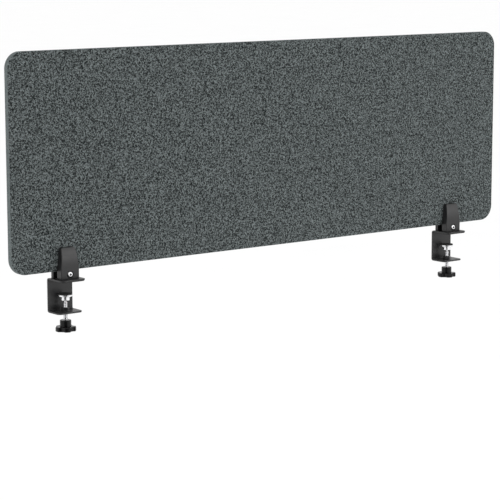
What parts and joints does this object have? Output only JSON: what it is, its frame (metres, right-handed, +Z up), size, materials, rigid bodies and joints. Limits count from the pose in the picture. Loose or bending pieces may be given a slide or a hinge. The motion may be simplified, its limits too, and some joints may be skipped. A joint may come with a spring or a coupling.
{
  "type": "desk privacy panel",
  "caption": "Dark grey felt screen held upright along a desk edge by black screw clamps with wedge jaws and star knobs.",
  "frame": {"origin": "on the desk surface plane, at the felt board's mid-width and mid-thickness", "axes": "+X along the desk edge and the board's length; +Y away from the sitter, out over the desk edge; +Z up"},
  "size_m": [1.2, 0.0508, 0.513],
  "materials": {
    "felt_dark_grey": "pressed felt, flecked",
    "black_coat": "satin powder coat over steel and die-cast zinc",
    "zinc_steel": "bright zinc plate",
    "black_rubber": "matt",
    "black_plastic": "moulded",
    "white_nylon": "moulded"
  },
  "bodies": {
    "left_clamp": {"left_clamp_bracket": "black_coat", "left_desk_pad": "black_rubber", "left_rear_jaw": "black_coat", "left_rear_jaw_pad": "black_rubber", "left_jaw_fixing_screws": "zinc_steel", "left_weld_nut": "black_coat", "left_support_sleeve": "black_plastic"},
    "left_moving_jaw": {"left_front_jaw": "black_coat", "left_front_jaw_pad": "black_rubber"},
    "left_jaw_bolt": {"left_jaw_screw": "zinc_steel"},
    "left_swivel_seat": {"left_ball_seat": "white_nylon"},
    "left_swivel_pad": {"left_pressure_pad": "zinc_steel", "left_pressure_pad_rubber": "black_rubber"},
    "left_knob": {"left_clamp_screw": "zinc_steel", "left_clamp_knob": "black_plastic"},
    "right_clamp": {"right_clamp_bracket": "black_coat", "right_desk_pad": "black_rubber", "right_rear_jaw": "black_coat", "right_rear_jaw_pad": "black_rubber", "right_jaw_fixing_screws": "zinc_steel", "right_weld_nut": "black_coat", "right_support_sleeve": "black_plastic"},
    "right_moving_jaw": {"right_front_jaw": "black_coat", "right_front_jaw_pad": "black_rubber"},
    "right_jaw_bolt": {"right_jaw_screw": "zinc_steel"},
    "right_swivel_seat": {"right_ball_seat": "white_nylon"},
    "right_swivel_pad": {"right_pressure_pad": "zinc_steel", "right_pressure_pad_rubber": "black_rubber"},
    "right_knob": {"right_clamp_screw": "zinc_steel", "right_clamp_knob": "black_plastic"},
    "panel": {"acoustic_panel": "felt_dark_grey"}
  },
  "joints": [
    {"name": "right_clamp_position", "type": "slide", "parent": "left_clamp", "child": "right_clamp", "axis": [1, 0, 0], "range_m": [-0.4, 0.09]},
    {"name": "panel_lift_out", "type": "slide", "parent": "left_clamp", "child": "panel", "axis": [0, 0, 1], "range_m": [0, 0.06]},
    {"name": "left_jaw_open", "type": "slide", "parent": "left_clamp", "child": "left_moving_jaw", "axis": [0, 1, 0], "range_m": [-0.005, 0]},
    {"name": "left_jaw_screw_turn", "type": "hinge", "parent": "left_moving_jaw", "child": "left_jaw_bolt", "pos_m": [-0.485, -0.02, 0.0124], "axis": [0, 1, 0], "range_deg": [-1801, 0]},
    {"name": "left_pad_advance", "type": "slide", "parent": "left_clamp", "child": "left_swivel_seat", "axis": [0, 0, 1], "range_m": [-0.0115, 0.0135]},
    {"name": "left_knob_turn", "type": "hinge", "parent": "left_swivel_seat", "child": "left_knob", "pos_m": [-0.485, -0.0015, -0.06], "axis": [0, 0, 1], "range_deg": [-3313, 3889]},
    {"name": "left_pad_tilt", "type": "hinge", "parent": "left_swivel_seat", "child": "left_swivel_pad", "pos_m": [-0.485, -0.0015, -0.0345], "axis": [1, 0, 0], "range_deg": [-6, 6]},
    {"name": "right_jaw_open", "type": "slide", "parent": "right_clamp", "child": "right_moving_jaw", "axis": [0, 1, 0], "range_m": [-0.005, 0]},
    {"name": "right_jaw_screw_turn", "type": "hinge", "parent": "right_moving_jaw", "child": "right_jaw_bolt", "pos_m": [0.474, -0.02, 0.0124], "axis": [0, 1, 0], "range_deg": [-1801, 0]},
    {"name": "right_pad_advance", "type": "slide", "parent": "right_clamp", "child": "right_swivel_seat", "axis": [0, 0, 1], "range_m": [-0.0115, 0.0135]},
    {"name": "right_knob_turn", "type": "hinge", "parent": "right_swivel_seat", "child": "right_knob", "pos_m": [0.474, -0.0015, -0.06], "axis": [0, 0, 1], "range_deg": [-3313, 3889]},
    {"name": "right_pad_tilt", "type": "hinge", "parent": "right_swivel_seat", "child": "right_swivel_pad", "pos_m": [0.474, -0.0015, -0.0345], "axis": [1, 0, 0], "range_deg": [-6, 6]}
  ],
  "couplings": [
    {"joint": "left_jaw_screw_turn", "follows": "left_jaw_open", "rad_per_m": 6283.2},
    {"joint": "left_knob_turn", "follows": "left_pad_advance", "rad_per_m": 5026.5},
    {"joint": "right_jaw_screw_turn", "follows": "right_jaw_open", "rad_per_m": 6283.2},
    {"joint": "right_knob_turn", "follows": "right_pad_advance", "rad_per_m": 5026.5}
  ]
}
